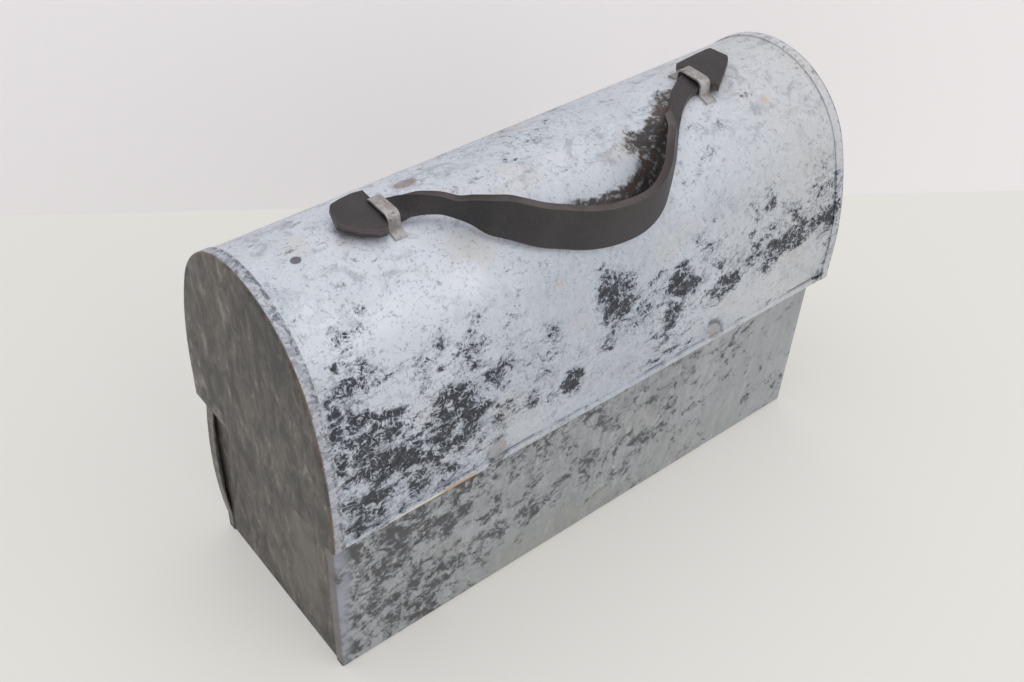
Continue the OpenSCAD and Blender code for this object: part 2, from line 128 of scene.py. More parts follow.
class Graph:
    """The node tree of one material."""

    def __init__(self, name):
        self.material = bpy.data.materials.new(name)
        self.material.use_nodes = True
        self.tree = self.material.node_tree
        self.tree.nodes.clear()

    def node(self, kind, settings=None, values=None, out=0):
        """Adds a node: its settings first, then the values or links of its sockets."""
        node = self.tree.nodes.new(kind)
        for key, value in (settings or {}).items():
            setattr(node, key, value)
        for key, value in (values or {}).items():
            socket = node.inputs[key]
            if isinstance(value, Sock):
                self.tree.links.new(value.socket, socket)
            elif isinstance(value, (tuple, list, Vector)) and len(value) == 3 and socket.type == "RGBA":
                socket.default_value = (*value, 1.0)
            else:
                socket.default_value = value
        return Sock(self, node.outputs[out]) if len(node.outputs) else None

    def place(self):
        """The place on the object, in metres."""
        return self.node("ShaderNodeTexCoord", out="Object")

    def split(self, vector):
        """The x, y and z of a vector."""
        node = self.tree.nodes.new("ShaderNodeSeparateXYZ")
        self.tree.links.new(vector.socket, node.inputs[0])
        return [Sock(self, node.outputs[i]) for i in range(3)]

    def mapped(self, vector, scale=(1, 1, 1), turn=(0, 0, 0)):
        """The place stretched and turned; a noise is longer along an axis with a scale under 1."""
        return self.node(
            "ShaderNodeMapping", {"vector_type": "POINT"},
            {"Vector": vector, "Rotation": turn, "Scale": scale})

    def noise(self, vector, scale, detail=3.0, rough=0.5, warp=0.0):
        """Cloudy values about 0.5; scale is the number of clouds to a metre."""
        return self.node(
            "ShaderNodeTexNoise", {"noise_dimensions": "3D"},
            {"Vector": vector, "Scale": scale, "Detail": detail, "Roughness": rough, "Distortion": warp})

    def blend(self, share, a, b):
        """Colour a where share is 0 and colour b where it is 1."""
        return self.node(
            "ShaderNodeMix", {"data_type": "RGBA", "clamp_factor": True},
            {0: share, 6: a, 7: b}, out=2)

    def relief(self, height, depth, strength):
        """A normal roughened by height, which is depth metres high at 1."""
        return self.node("ShaderNodeBump", None, {"Height": height, "Distance": depth, "Strength": strength})

    def finish(self, **values):
        """Closes the material with its colour, roughness, share of metal and relief."""
        names = {"colour": "Base Color", "rough": "Roughness", "metal": "Metallic", "normal": "Normal"}
        shader = self.node("ShaderNodeBsdfPrincipled", None, {names[k]: v for k, v in values.items()})
        self.node("ShaderNodeOutputMaterial", None, {"Surface": shader})
        return self.material


def paint(red, green, blue):
    """A colour given as it looks on a screen, 0 to 255; none is dark enough for the curve's straight foot."""
    return tuple(((value / 255 + 0.055) / 1.055) ** 2.4 for value in (red, green, blue))


# Tinned sheet of the lid
ZINC_GREY, ZINC_LIGHT = paint(200, 206, 216), paint(222, 226, 236)
ZINC_PLAIN, ZINC_GLINT = paint(214, 213, 214), paint(226, 228, 232)
ZINC_WARM, ZINC_STAIN, ZINC_BLOOM = paint(212, 206, 197), paint(163, 167, 177), paint(232, 234, 242)
# What is left of its black paint, from a breath of it to thick flakes
PAINT_DUST, PAINT_THIN = paint(138, 143, 156), paint(130, 136, 149)
PAINT_BLACK, PAINT_CHALKY = paint(40, 42, 48), paint(76, 79, 88)
# Marks on the dome
SOLDER_SCORCH, SOLDER_GREY = paint(74, 74, 78), paint(176, 172, 172)
# Painted highlight on the dents, and rust spots
DENT_HIGHLIGHT, RUST_SPOT = paint(206, 204, 212), paint(222, 182, 150)
BROWN_OVAL, DARK_DOT = paint(134, 110, 106), paint(72, 70, 78)
# Painted shadow of the strap on the dome, in brown-black
STRAP_SHADOW_BLACK, STRAP_SHADOW_BROWN = paint(38, 30, 25), paint(66, 50, 40)
# Painted shade along the hem's edge, and the hem's bare fold
HEM_EDGE_SHADE, HEM_BARE = paint(84, 86, 92), paint(206, 200, 194)
# Painted highlight along the hem, whitish going rust-orange
HEM_HIGHLIGHT_WHITE, HEM_HIGHLIGHT_RUST = paint(240, 232, 222), paint(222, 176, 132)
# Bare tin on the inner faces
DULL_DARK, DULL_LIGHT, DULL_SPECK = paint(142, 143, 147), paint(178, 180, 184), paint(112, 108, 106)
# End panels of the lid and their flange
LID_END_DARK, LID_END_LIGHT, LID_END_SCUFF = paint(72, 69, 67), paint(124, 118, 112), paint(158, 153, 147)
LID_END_BLOOM = paint(178, 172, 174)
FLANGE_GREY, FLANGE_PALE = paint(146, 149, 162), paint(204, 205, 212)
FLANGE_SPECK, FLANGE_RUST = paint(98, 100, 112), paint(176, 138, 120)
# Rust on the rim's left corner, and painted shade in its crease on the right
RIM_RUST, RIM_CREASE_SHADE = paint(132, 108, 96), paint(84, 80, 80)
# Body: its ends, its long walls and the mottling on them
BODY_END_DARK, BODY_END_LIGHT, BODY_END_SCUFF = paint(76, 72, 70), paint(128, 122, 116), paint(160, 155, 149)
BODY_END_WORN = paint(136, 130, 124)
WALL_DARK, WALL_LIGHT, WALL_SCUFF = paint(158, 160, 163), paint(186, 188, 191), paint(198, 200, 203)
WALL_LEFT, WALL_RIGHT = paint(196, 198, 202), paint(190, 192, 196)
WALL_SMEAR, WALL_TAN = paint(128, 129, 132), paint(170, 168, 158)
WALL_BLACK, WALL_CHALKY = paint(62, 60, 60), paint(78, 78, 82)
WALL_BARE, WALL_LAP = paint(172, 174, 188), paint(124, 114, 108)
# Keepers, hasp, hinges and wire
STRIP_GREY, STRIP_LIGHT, STRIP_STAIN = paint(152, 146, 144), paint(190, 187, 185), paint(112, 96, 88)
WIRE_GREY, WIRE_LIGHT, WIRE_RUST = paint(104, 98, 94), paint(150, 146, 142), paint(112, 76, 54)
# Strap
LEATHER_BLACK, LEATHER_BROWN = paint(41, 38, 40), paint(53, 49, 51)
# Leather grain, and the cut edge: paler leather with a painted highlight along it
LEATHER_GRAIN, LEATHER_PALE_EDGE_AND_HIGHLIGHT = paint(80, 74, 72), paint(98, 88, 86)
# Surroundings
FLOOR_PALE, BACKDROP_PALE = paint(204, 202, 197), paint(226, 222, 223)


def blobs(x, z, spots):
    """Soft patches (x, z, width, height, strength in mm) added up over a side of the box."""
    total = None
    for at_x, at_z, wide, tall, strength in spots:
        dx = (x - at_x * MM) / (wide * MM)
        dz = (z - at_z * MM) / (tall * MM)
        patch = (1.0 - (dx * dx + dz * dz)).step(0.0, 1.0) * strength
        total = patch if total is None else total + patch
    return total


# The dome's outline: two side arcs that stand on the skirts and a tighter arc over the crest
ARCH_MIDDLE_Y = -2.1 * MM
ARCH_HALF = 49.7 * MM
ARCH_FOOT_Z = 97.4 * MM
SIDE_RADIUS = 143.3 * MM
CREST_RADIUS = 43.3 * MM
CREST_Z = 132.6 * MM
CREST_FOOT_Z = 147.8 * MM
# The outer faces of the body's long walls and of its ends
BODY_WALL_Y, BODY_END_X = 46.0 * MM, 127.0 * MM

# Where the old black paint still clings to the hinge side of the lid, and where it is gone from
# within those patches: x, z, width, height and strength, as in blobs
DOME_DARK = [
    (1, 132, 15, 14, 1.1), (-3, 142, 7, 7, 0.9), (35, 125, 9, 9, 1.0), (30, 109, 5, 10, 0.9),
    (61, 111, 12, 6, 0.9), (87, 112, 7, 10, 0.9), (103, 116, 16, 9, 1.0), (120, 114, 7, 10, 0.8),
    (123, 85, 6, 6, 0.9), (48, 134, 6, 10, 0.6), (44, 158, 8, 8, 0.4), (-22, 105, 7, 8, 0.75),
    (-4, 110, 8, 2, 0.4), (86, 140, 5, 8, 0.6), (-108, 128, 15, 11, 0.85), (-73, 111, 13, 12, 0.8),
    (-88, 110, 16, 8, 0.9), (-108, 112, 12, 9, 0.9), (-76, 124, 13, 9, 0.75), (-116, 85, 14, 8, 0.35),
    (-92, 91, 7, 10, 0.4), (-123, 131, 4, 21, 0.6), (-55, 107, 7, 7, 0.5), (-42, 105, 6, 6, 0.5),
    (-20, 104, 7, 10, 0.4), (-63, 148, 6, 6, 0.45), (-77, 148, 5, 6, 0.45), (-66, 140, 8, 8, 0.5),
    (-87, 141, 7, 7, 0.5), (-57, 127, 6, 7, 0.6), (-112, 153, 18, 17, 0.3), (-105, 164, 14, 10, 0.3),
    (-30, 129, 7, 8, 0.45), (-26, 152, 8, 6, 0.3), (-100, 144, 7, 8, 0.3), (-115, 94, 16, 14, 0.3),
    (22, 118, 36, 18, 0.6), (80, 122, 42, 20, 0.6), (-118, 112, 12, 36, 0.4), (126, 112, 7, 34, 0.5),
    (28, 96, 40, 10, 0.35), (-80, 112, 70, 44, 0.40), (118, 132, 12, 20, 0.5), (-94, 114, 26, 13, 0.35),
    (60, 128, 14, 10, 0.2), (-95, 92, 45, 14, 0.25), (0, 100, 60, 8, 0.3), (30, 88, 30, 5, 0.4),
    (54, 108, 16, 8, 0.5), (-114, 142, 14, 16, 0.45), (-86, 104, 8, 7, 0.4),
]
DOME_PALE = [
    (-44, 95, 14, 7, 0.6), (-8, 91, 11, 7, 0.4), (77, 97, 24, 9, 0.4), (7, 94, 21, 8, 0.3),
    (-103, 138, 9, 6, 0.35), (-90, 82, 5, 6, 0.4), (20, 150, 60, 14, 0.3), (90, 158, 30, 18, 0.3),
    (66, 131, 13, 12, 0.5), (8, 104, 12, 12, 0.5),
]
# Whitish bloom on the crest, the oval, the dot and the painted shadow that the strap casts on the dome: x, y
# and so on
CREST_BLOOM = [(-115, -26, 11, 8, 1.0), (-60, -34, 9, 6, 1.0), (-98, -33, 18, 6, 0.6),
               (-30, -14, 50, 10, 0.45), (40, -12, 40, 10, 0.45)]
CREST_OVAL = [(-56, 8, 6.0, 3.6, 1.0)]
CREST_DOT = [(-110, -7.4, 2.6, 2.2, 1.0)]
STRAP_SHADOW_AT = [(60, -4, 8, 6, 0.8), (54, -11, 9, 7, 1.2), (46, -17, 10, 8, 1.3), (40, -23, 10, 8, 1.3),
             (34, -28, 11, 7, 1.3), (26, -32, 11, 6, 1.2), (16, -34, 12, 5.5, 1.3), (5, -33, 11, 5, 1.3),
             (-7, -31, 11, 4.5, 1.1), (34, -19, 12, 7, 0.9)]
# Dents that carry a painted highlight, rust spots, and the painted highlight along the hem with its
# rust-orange, on the lid's hinge side, then the marks on the body: x, z and so on
DOME_DENTS = [(-19, 129, 9, 6, 1.0), (-16, 138, 8, 5, 0.8)]
DOME_RUST = [(-25, 148, 2.6, 1.7, 1.0), (98, 170, 1.9, 1.9, 0.8)]
HEM_HIGHLIGHT_AND_RUST_AT = [(-78, 81.6, 14, 30, 1.0), (-96, 81.6, 14, 30, 0.8)]
WALL_TAN_AT = [(-22, 2, 56, 26, 1.0), (60, 14, 46, 20, 0.5), (-70, 38, 15, 11, 0.6), (27, 47, 16, 10, 0.6)]
WALL_BARE_AT = [(-127, 56, 9, 30, 1.0), (-126, 20, 6, 26, 0.6)]
# Marks on the ends: y, z and so on
LID_END_BLOOM_AT = [(44, 92, 12, 14, 1.0), (46, 118, 5, 22, 0.8), (28, 84, 8, 7, 0.7), (36, 160, 14, 8, 0.4)]
BODY_END_WORN_AT = [(-22, 46, 18, 40, 1.0), (-6, 20, 20, 20, 0.5)]
# Middles of the two solder marks (x, z) and how far they lean
SOLDER_MARKS = [(-56.6, 88.6), (57.7, 87.2)]
MARK_COS, MARK_SIN = 0.94, 0.34
# How far the flakes and the brush marks lean
FLAKE_LEAN, BRUSH_LEAN = math.radians(-40), math.radians(32)


def flaked(g, spot, fine, stretch):
    """Flaked paint: a signed level about 0 that is ragged at any threshold."""
    lean = g.mapped(spot, scale=(stretch, 1.0, 1.0), turn=(0.0, FLAKE_LEAN, 0.0))
    chips = g.noise(lean, fine, 4.0, 0.68, 0.7) - 0.5
    crumbs = g.noise(spot, fine * 2.6, 3.0, 0.7, 0.4) - 0.5
    return chips * 10.5 + crumbs * 5.5


def scratches(g, spot, scale, thin, thick):
    """1 along short, curled scratches that let the bright metal show."""
    field = g.noise(spot, scale, 2.0, 0.5, 2.2)
    return 1.0 - abs(field - 0.5).step(thin, thick)


def worn_zinc(g, spot, x, y, z):
    """The lid's tinned sheet with its flaked paint: colour, share of black, fine grain and paint level."""
    hinge_side = (-y).step(-4 * MM, 22 * MM)
    crest = z.step(156 * MM, 174 * MM)
    broad = g.noise(spot, 20.0, 3.0, 0.55)
    patch = g.noise(spot, 75.0, 3.0, 0.6)
    fine = g.noise(spot, 420.0, 4.0, 0.7, 0.6)
    # The hinge side has its patches in their places, the rest has them where they fall
    drawn = blobs(x, z, DOME_DARK) - blobs(x, z, DOME_PALE)
    dark = drawn.low(1.15) * hinge_side + (broad.step(0.40, 0.68) * 0.95) * (1.0 - hinge_side)
    dark = dark * (1.0 - crest * 0.7)
    level = flaked(g, spot, 210.0, 0.6) + dark * 3.0 - 2.35 + (patch - 0.5) * 3.0
    level = level - scratches(g, spot, 150.0, 0.012, 0.034) * 1.5
    black = level.step(-0.40, 0.75)
    half = level.step(-1.60, 0.10)
    dust = (g.noise(spot, 620.0, 4.0, 0.7, 0.8) + dark.clip() * 0.09).step(0.56, 0.66)

    tone = g.noise(spot, 10.0, 3.0, 0.6)
    zinc = g.blend(tone.step(0.35, 0.65), ZINC_GREY, ZINC_LIGHT)
    zinc = g.blend(x.step(20 * MM, 120 * MM) * 0.7, zinc, ZINC_PLAIN)
    zinc = g.blend(fine.step(0.42, 0.72) * 0.6, zinc, ZINC_GLINT)
    warm = g.noise(spot, 34.0, 3.0, 0.5).step(0.54, 0.72)
    zinc = g.blend(warm * 0.45, zinc, ZINC_WARM)
    stain = g.noise(spot, 95.0, 5.0, 0.7, 0.8).step(0.50, 0.66) * (0.30 + crest * 0.35)
    zinc = g.blend(stain, zinc, ZINC_STAIN)
    grainy = g.noise(spot, 130.0, 4.0, 0.7, 0.5).step(0.42, 0.56)
    bloom = (blobs(x, y, CREST_BLOOM) * grainy).clip() * z.step(150 * MM, 158 * MM)
    zinc = g.blend(bloom * 0.85, zinc, ZINC_BLOOM)

    colour = g.blend(dust * 0.55, zinc, PAINT_DUST)
    colour = g.blend(half * 0.65, colour, PAINT_THIN)
    flakes = g.blend(fine.step(0.40, 0.65), PAINT_BLACK, PAINT_CHALKY)
    colour = g.blend(black, colour, flakes)
    return colour, black, fine, level


def dome_outside(y, z):
    """1 on the outer face of the dome's sheet and 0 on its inner face."""
    across = abs(y - ARCH_MIDDLE_Y)
    past_skirt = across - ARCH_HALF
    rise = z - ARCH_FOOT_Z
    run = across + (SIDE_RADIUS - ARCH_HALF)
    past_side = (run * run + rise * rise) ** 0.5 - SIDE_RADIUS
    up = z - CREST_Z
    past_crest = (across * across + up * up) ** 0.5 - CREST_RADIUS
    on_side = z.step(ARCH_FOOT_Z - 0.1 * MM, ARCH_FOOT_Z + 0.1 * MM)
    on_crest = z.step(CREST_FOOT_Z - 0.1 * MM, CREST_FOOT_Z + 0.1 * MM)
    past = past_skirt * (1.0 - on_side) + past_side * (on_side - on_crest) + past_crest * on_crest
    # The sheet is 0.6 mm thick
    return past.step(-0.40 * MM, -0.25 * MM)


def dull_tin(g, spot):
    """Bare tin gone dull, as the sheet is on its inner face."""
    return g.blend(g.noise(spot, 45.0, 4.0, 0.65).step(0.40, 0.62), DULL_DARK, DULL_LIGHT)


def add_solder_mark(g, spot, x, z, near, at, colour):
    """Heat mark where a hinge is soldered on inside: a grey oval with a scorched rim."""
    dx = (x - at[0] * MM) * MARK_COS + (z - at[1] * MM) * MARK_SIN
    dz = (z - at[1] * MM) * MARK_COS - (x - at[0] * MM) * MARK_SIN
    wobble = (g.noise(spot, 140.0, 4.0, 0.65) - 0.5) * 1.6
    ring = ((dx / (4.8 * MM)) ** 2.0 + (dz / (5.6 * MM)) ** 2.0) ** 0.5 + wobble
    broken = g.noise(spot, 90.0, 2.0, 0.5).step(0.38, 0.55)
    rim = ring.step(0.72, 0.95) * (1.0 - ring.step(1.02, 1.45)) * broken
    colour = g.blend(rim * near * 0.75, colour, SOLDER_SCORCH)
    return g.blend((1.0 - ring.step(0.70, 0.92)) * near * 0.85, colour, SOLDER_GREY)


def dome_tin():
    g = Graph("dome_tin")
    spot = g.place()
    x, y, z = g.split(spot)
    colour, black, fine, level = worn_zinc(g, spot, x, y, z)
    outside = dome_outside(y, z)
    black = black * outside
    near = (-y).step(40 * MM, 45 * MM)
    for at in SOLDER_MARKS:
        colour = add_solder_mark(g, spot, x, z, near, at, colour)
    # Painted highlight on the dents, and small spots of rust
    hinge_side = (-y).step(0.0, 22 * MM)
    dent_highlight = blobs(x, z, DOME_DENTS) * hinge_side
    colour = g.blend(dent_highlight.clip() * 0.5, colour, DENT_HIGHLIGHT)
    ragged = g.noise(spot, 420.0, 3.0, 0.6).step(0.38, 0.58)
    spots = blobs(x, z, DOME_RUST) * hinge_side
    colour = g.blend((spots * 1.5).clip() * ragged * 0.7, colour, RUST_SPOT)
    # A brown oval and a dark dot on the crest
    on_crest = z.step(160 * MM, 170 * MM)
    oval = blobs(x, y, CREST_OVAL) * on_crest
    colour = g.blend((oval * 1.7).clip() * 0.7, colour, BROWN_OVAL)
    dot = blobs(x, y, CREST_DOT) * on_crest
    ragged_dot = (dot * 1.6 + fine * 0.3 - 0.15).clip() * dot.step(0.1, 0.5)
    colour = g.blend(ragged_dot * 0.85, colour, DARK_DOT)
    # Painted shadow of the strap on the dome, brown-black and ragged at its edge
    strap_shadow = blobs(x, y, STRAP_SHADOW_AT).clip() * z.step(152 * MM, 160 * MM)
    frayed_strap_shadow = (strap_shadow * 1.5 + (g.noise(spot, 380.0, 4.0, 0.7, 0.6) - 0.5) * 4.0 - 0.40).clip()
    strap_shadow_tint = g.blend(g.noise(spot, 60.0, 2.0).step(0.4, 0.6), STRAP_SHADOW_BLACK, STRAP_SHADOW_BROWN)
    colour = g.blend(frayed_strap_shadow * 0.94, colour, strap_shadow_tint)
    # Painted shade in a dashed line above the hem, where its edge shades the sheet; the bare fold below it;
    # and a painted highlight along the hem's bottom, whitish going rust-orange at its right
    dashes = g.noise(g.mapped(spot, scale=(0.5, 1.0, 1.0)), 150.0, 4.0, 0.65).step(0.42, 0.60)
    hem_edge_shade = z.step(84.6 * MM, 85.0 * MM) * (1.0 - z.step(85.6 * MM, 86.2 * MM)) * dashes
    colour = g.blend(hem_edge_shade * 0.75, colour, HEM_EDGE_SHADE)
    fold = (1.0 - z.step(81.8 * MM, 83.0 * MM)) * g.noise(spot, 60.0, 3.0, 0.6).step(0.35, 0.6)
    colour = g.blend(fold * 0.6, colour, HEM_BARE)
    # Painted highlight along the hem's bottom, whitish at the left and rust-orange at the right
    rust = (1.0 - z.step(82.8 * MM, 83.8 * MM)) * blobs(x, z, HEM_HIGHLIGHT_AND_RUST_AT).clip()
    hem_highlight_tint = g.blend(x.step(-86 * MM, -80 * MM), HEM_HIGHLIGHT_WHITE, HEM_HIGHLIGHT_RUST)
    colour = g.blend(rust, colour, hem_highlight_tint)
    # The inner face
    speckled = g.noise(spot, 300.0, 3.0, 0.6).step(0.58, 0.66)
    dull = g.blend(speckled * 0.5, dull_tin(g, spot), DULL_SPECK)
    colour = g.blend(outside, dull, colour)
    relief = g.relief(level.step(-1.0, 0.5) * outside * 0.5 + fine * 0.4, 0.22 * MM, 0.5)
    return g.finish(colour=colour, rough=0.40 + black * 0.12 + fine * 0.15,
                    metal=(1.0 - black) * 0.22, normal=relief)


def brushed_tin(name, dark, light, scuff, scuff_start):
    """Start of the finish of the end panels and of the body: dull, dark and brushed."""
    g = Graph(name)
    spot = g.place()
    x, y, z = g.split(spot)
    lean = g.mapped(spot, scale=(1.0, 1.0, 0.35), turn=(BRUSH_LEAN, 0.0, 0.0))
    brushed = g.noise(lean, 190.0, 5.0, 0.65, 0.9)
    broad = g.noise(spot, 24.0, 4.0, 0.6)
    fine = g.noise(spot, 420.0, 4.0, 0.7, 0.8)
    level = brushed * 0.6 + fine * 0.2 + broad * 0.35
    colour = g.blend(level.step(0.46, 0.70), dark, light)
    scuffs = brushed * 0.7 + fine * 0.3 + (broad - 0.5) * 0.3
    colour = g.blend(scuffs.step(scuff_start, scuff_start + 0.05) * 0.8, colour, scuff)
    relief = g.relief(level, 0.2 * MM, 0.5)
    return g, spot, (x, y, z), colour, level, relief


def lid_end_tin():
    g, spot, (x, y, z), colour, level, relief = brushed_tin(
        "lid_end_tin", LID_END_DARK, LID_END_LIGHT, LID_END_SCUFF, 0.59)
    # Whitish bloom low on the rear edge, where the plating has gone
    bloom = blobs(y, z, LID_END_BLOOM_AT).clip() * g.noise(spot, 130.0, 4.0, 0.7).step(0.42, 0.6)
    colour = g.blend(bloom * 0.7, colour, LID_END_BLOOM)
    # The turned flange: pale and speckled on the left, as the dome on the right
    zinc = worn_zinc(g, spot, x, y, z)[0]
    on_right = x.step(-10 * MM, 10 * MM)
    pale = g.blend(g.noise(spot, 240.0, 5.0, 0.75, 0.8).step(0.38, 0.60), FLANGE_GREY, FLANGE_PALE)
    seam = abs(x).step(125.2 * MM, 126.2 * MM) * (1.0 - abs(x).step(126.4 * MM, 127.6 * MM))
    specks = (g.noise(spot, 560.0, 4.0, 0.7, 0.8) + seam * 0.09).step(0.54, 0.64)
    pale = g.blend(specks * 0.8, pale, FLANGE_SPECK)
    rusty = g.noise(spot, 120.0, 3.0, 0.6).step(0.55, 0.66) * (1.0 - z.step(130 * MM, 160 * MM))
    pale = g.blend(rusty * 0.5, pale, FLANGE_RUST)
    zinc = g.blend(1.0 - on_right, zinc, pale)
    flange = 1.0 - abs(x).step(129.4 * MM, 129.8 * MM)
    colour = g.blend(flange, colour, zinc)
    # Worn corner: rust on the left, and painted shade in the crease on the right
    worn = g.noise(spot, 95.0, 4.0, 0.7)
    crumbs = g.noise(spot, 420.0, 4.0, 0.7)
    corner = (abs(x) + (crumbs - 0.5) * (3 * MM)).step(129.1 * MM, 129.7 * MM)
    corner = corner * (1.0 - abs(x).step(130.25 * MM, 130.5 * MM))
    patchy = (worn * 0.5 + crumbs * 0.5).step(0.45, 0.60)
    colour = g.blend(corner * patchy * 0.75, colour, g.blend(on_right, RIM_RUST, RIM_CREASE_SHADE))
    return g.finish(colour=colour, rough=0.5 + level * 0.1, metal=0.15, normal=relief)


def body_end_tin():
    g, spot, (_, y, z), colour, level, relief = brushed_tin(
        "body_end_tin", BODY_END_DARK, BODY_END_LIGHT, BODY_END_SCUFF, 0.59)
    worn = blobs(y, z, BODY_END_WORN_AT).clip() * g.noise(spot, 60.0, 4.0, 0.6).step(0.3, 0.6)
    colour = g.blend(worn * 0.7, colour, BODY_END_WORN)
    return g.finish(colour=colour, rough=0.5 + level * 0.1, metal=0.15, normal=relief)


def body_tin():
    g, spot, (x, y, z), colour, level, relief = brushed_tin(
        "body_tin", WALL_DARK, WALL_LIGHT, WALL_SCUFF, 0.60)
    broad = g.noise(spot, 22.0, 3.0, 0.55)
    patch = g.noise(spot, 85.0, 3.0, 0.6)
    left = 1.0 - x.step(-120 * MM, 20 * MM)
    right = x.step(30 * MM, 90 * MM)
    # Painted shade under the lid's skirt: the wall's mottle darkens towards its top
    under_lid_shade = z.step(45 * MM, 85 * MM)
    dark = broad.step(0.36, 0.62) * 0.28 + left * 0.40 + under_lid_shade * 0.20 + 0.30 - right * 0.20
    tan = blobs(x, z, WALL_TAN_AT).clip()
    mottle = flaked(g, spot, 180.0, 0.9) * 0.8 + (patch - 0.5) * 4.5 + dark * 2.4 - 1.8 - tan * 1.3
    colour = g.blend(left * 0.4, colour, WALL_LEFT)
    colour = g.blend(mottle.step(-1.0, 0.3) * 0.55, colour, WALL_SMEAR)
    colour = g.blend(right * 0.35, colour, WALL_RIGHT)
    flakes = g.blend(patch.step(0.42, 0.60), WALL_BLACK, WALL_CHALKY)
    colour = g.blend(mottle.step(-0.35, 1.1) * 0.9, colour, flakes)
    colour = g.blend(tan * g.noise(spot, 60.0, 3.0, 0.6).step(0.3, 0.6) * 0.5, colour, WALL_TAN)
    # Bare tin up the front left corner, and the laps at the ends
    bare = (blobs(x, z, WALL_BARE_AT).clip() * g.noise(spot, 90.0, 4.0, 0.6).step(0.28, 0.48)
            * (1.0 - y.step(-45 * MM, -30 * MM)))
    colour = g.blend(bare * 0.9, colour, WALL_BARE)
    lap = abs(x).step(BODY_END_X - 0.4 * MM, BODY_END_X)
    colour = g.blend(lap * 0.7, colour, WALL_LAP)
    # The inner face
    within_walls = 1.0 - abs(y).step(BODY_WALL_Y - 0.4 * MM, BODY_WALL_Y - 0.2 * MM)
    within_ends = 1.0 - abs(x).step(BODY_END_X - 0.5 * MM, BODY_END_X - 0.3 * MM)
    inside = within_walls * within_ends * z.step(0.2 * MM, 0.4 * MM)
    colour = g.blend(inside, colour, dull_tin(g, spot))
    return g.finish(colour=colour, rough=0.46 + level * 0.1, metal=0.15, normal=relief)


def strip_tin():
    g = Graph("strip_tin")
    spot = g.place()
    dull = g.noise(spot, 160.0, 4.0, 0.65)
    colour = g.blend(dull.step(0.4, 0.62), STRIP_GREY, STRIP_LIGHT)
    stain = g.noise(spot, 420.0, 3.0, 0.6).step(0.60, 0.68)
    colour = g.blend(stain * 0.7, colour, STRIP_STAIN)
    return g.finish(colour=colour, rough=0.4 + dull * 0.15, metal=0.35,
                    normal=g.relief(dull, 0.2 * MM, 0.4))


def wire_steel():
    g = Graph("wire_steel")
    spot = g.place()
    dull = g.noise(spot, 240.0, 4.0, 0.65)
    colour = g.blend(dull.step(0.4, 0.62), WIRE_GREY, WIRE_LIGHT)
    rust = g.noise(spot, 90.0, 4.0, 0.7).step(0.56, 0.68)
    colour = g.blend(rust * 0.7, colour, WIRE_RUST)
    return g.finish(colour=colour, rough=0.42 + dull * 0.15, metal=0.5)


def strap_leather():
    g = Graph("strap_leather")
    spot = g.place()
    grain = g.noise(spot, 900.0, 4.0, 0.6)
    broad = g.noise(spot, 60.0, 3.0, 0.55)
    colour = g.blend(broad.step(0.35, 0.65), LEATHER_BLACK, LEATHER_BROWN)
    colour = g.blend(grain.step(0.45, 0.7) * 0.3, colour, LEATHER_GRAIN)
    # The cut edge is paler where it has been rubbed, and carries a painted highlight along it
    edge = g.node("ShaderNodeAttribute", {"attribute_name": "cut_edge"}, out="Fac")
    rubbed_and_highlit = g.noise(spot, 70.0, 3.0, 0.6).step(0.3, 0.6)
    colour = g.blend(edge.step(0.3, 0.9) * (0.3 + rubbed_and_highlit * 0.5), colour, LEATHER_PALE_EDGE_AND_HIGHLIGHT)
    return g.finish(colour=colour, rough=0.42 + grain * 0.16, metal=0.0,
                    normal=g.relief(grain, 0.15 * MM, 0.35))


# ---------------------------------------------------------------- strap

STRAP_THICK = 3.0
EDGE_ROUNDING = 0.5 * MM
# How far ahead and behind the strap's direction is looked up, as a share of its length
LOOK_AHEAD = 0.03
ROWS_PER_STATION = 8
TINY = 1e-6
# How many of the stations belong to the head outside the keeper
HEAD_STATIONS = 7
# The strap's outer lower corner (x, y, z in mm), its lean (0 flat, 90 upright), its width and how far
# its other edge is shifted along the box, from the tip of the head to the middle of the bow
STRAP_LEFT = [
    (-92.0, -5.0, 181.4, 2, 9.2, 2.9), (-91.2, -6.8, 181.2, 2, 11.7, 3.2),
    (-86.8, -11.4, 180.4, 2, 17.8, 2.9), (-81.5, -15.0, 179.7, 2, 22.4, 3.1),
    (-78.4, -15.0, 179.4, 3, 21.6, 3.9), (-77.6, -13.6, 179.3, 4, 16.6, 3.0),
    (-76.6, -11.2, 179.2, 8, 10.4, 1.6), (-74.0, -10.9, 178.9, 9, 10.5, 0),
    (-72.2, -11.2, 178.6, 12, 10, 0), (-69.6, -11.9, 178.0, 28, 8.8, 0),
    (-66.6, -13.0, 177.7, 55, 8, 0), (-63.0, -14.2, 177.6, 76, 7.8, 0),
    (-57.9, -16.8, 177.0, 90, 7.7, 0), (-54.1, -20.2, 175.7, 96, 8.2, 0),
    (-50.6, -23.6, 173.9, 99, 11.6, 0), (-46.9, -28.5, 171.0, 101, 16.6, 0),
    (-42.5, -31.2, 169.0, 101, 18.4, 0), (-38.6, -33.3, 167.2, 101, 18.9, 0),
    (-30.7, -37.1, 163.3, 100, 19.4, 0), (-21.6, -39.8, 159.9, 99, 19.5, 0),
    (-11.5, -42.1, 156.3, 98, 19.5, 0), (-0.8, -43.4, 153.9, 98, 19.5, 0),
]
